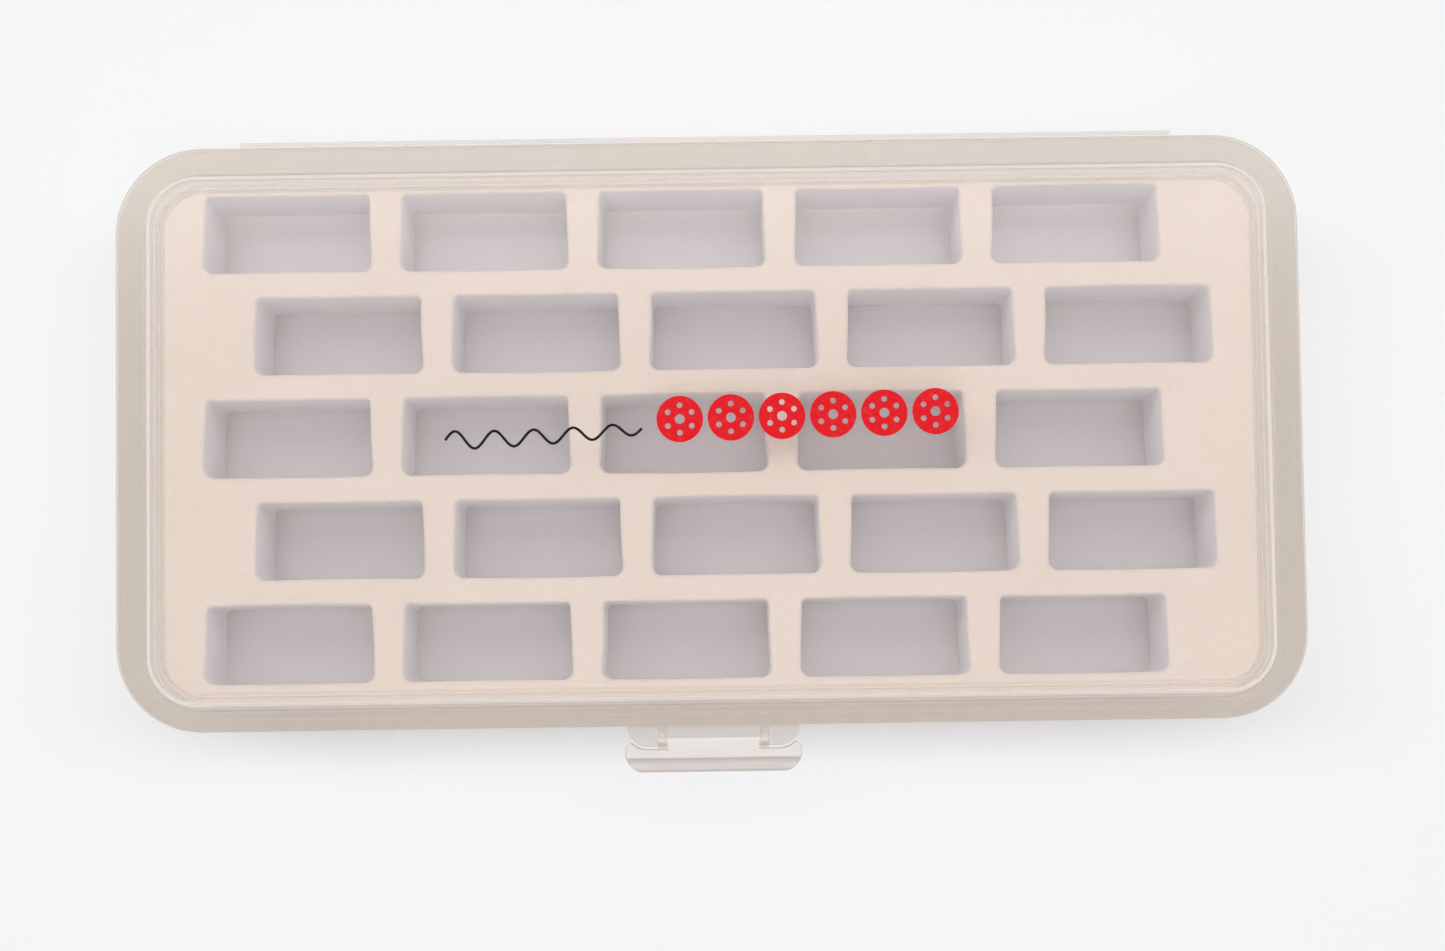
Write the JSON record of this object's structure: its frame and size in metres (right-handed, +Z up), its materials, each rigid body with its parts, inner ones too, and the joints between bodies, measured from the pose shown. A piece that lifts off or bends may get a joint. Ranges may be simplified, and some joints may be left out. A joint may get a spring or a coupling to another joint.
{
  "type": "bobbin box",
  "caption": "Frosted plastic snap box with a hinged lid, a front latch and a foam insert whose slots hold sewing bobbins on edge.",
  "frame": {"origin": "centre of the flat bottom face of the base, under the middle of the rims", "axes": "+X along the box, +Y from the latch in front to the hinge at the back, +Z up"},
  "size_m": [0.152, 0.0818, 0.026],
  "materials": {
    "frosted_plastic": "translucent frosted polypropylene, satin",
    "frosted_lid": "translucent frosted polypropylene, satin",
    "hinge_plastic": "thin flexed polypropylene, satin",
    "milky_plastic": "milky polypropylene, satin",
    "foam": "fine-cell polyethylene foam, matt"
  },
  "bodies": {
    "base": {"base_tray": "frosted_plastic", "foam_insert": "foam", "living_hinge": "hinge_plastic"},
    "lid": {"lid_shell": "frosted_lid"},
    "latch": {"latch": "milky_plastic"}
  },
  "joints": [
    {"name": "lid_hinge", "type": "hinge", "parent": "base", "child": "lid", "pos_m": [0, 0.0381, 0.02005], "axis": [-1, 0, 0], "range_deg": [0, 180]},
    {"name": "latch_hinge", "type": "hinge", "parent": "lid", "child": "latch", "pos_m": [0, -0.03935, 0.02105], "axis": [-1, 0, 0], "range_deg": [0, 110]}
  ]
}
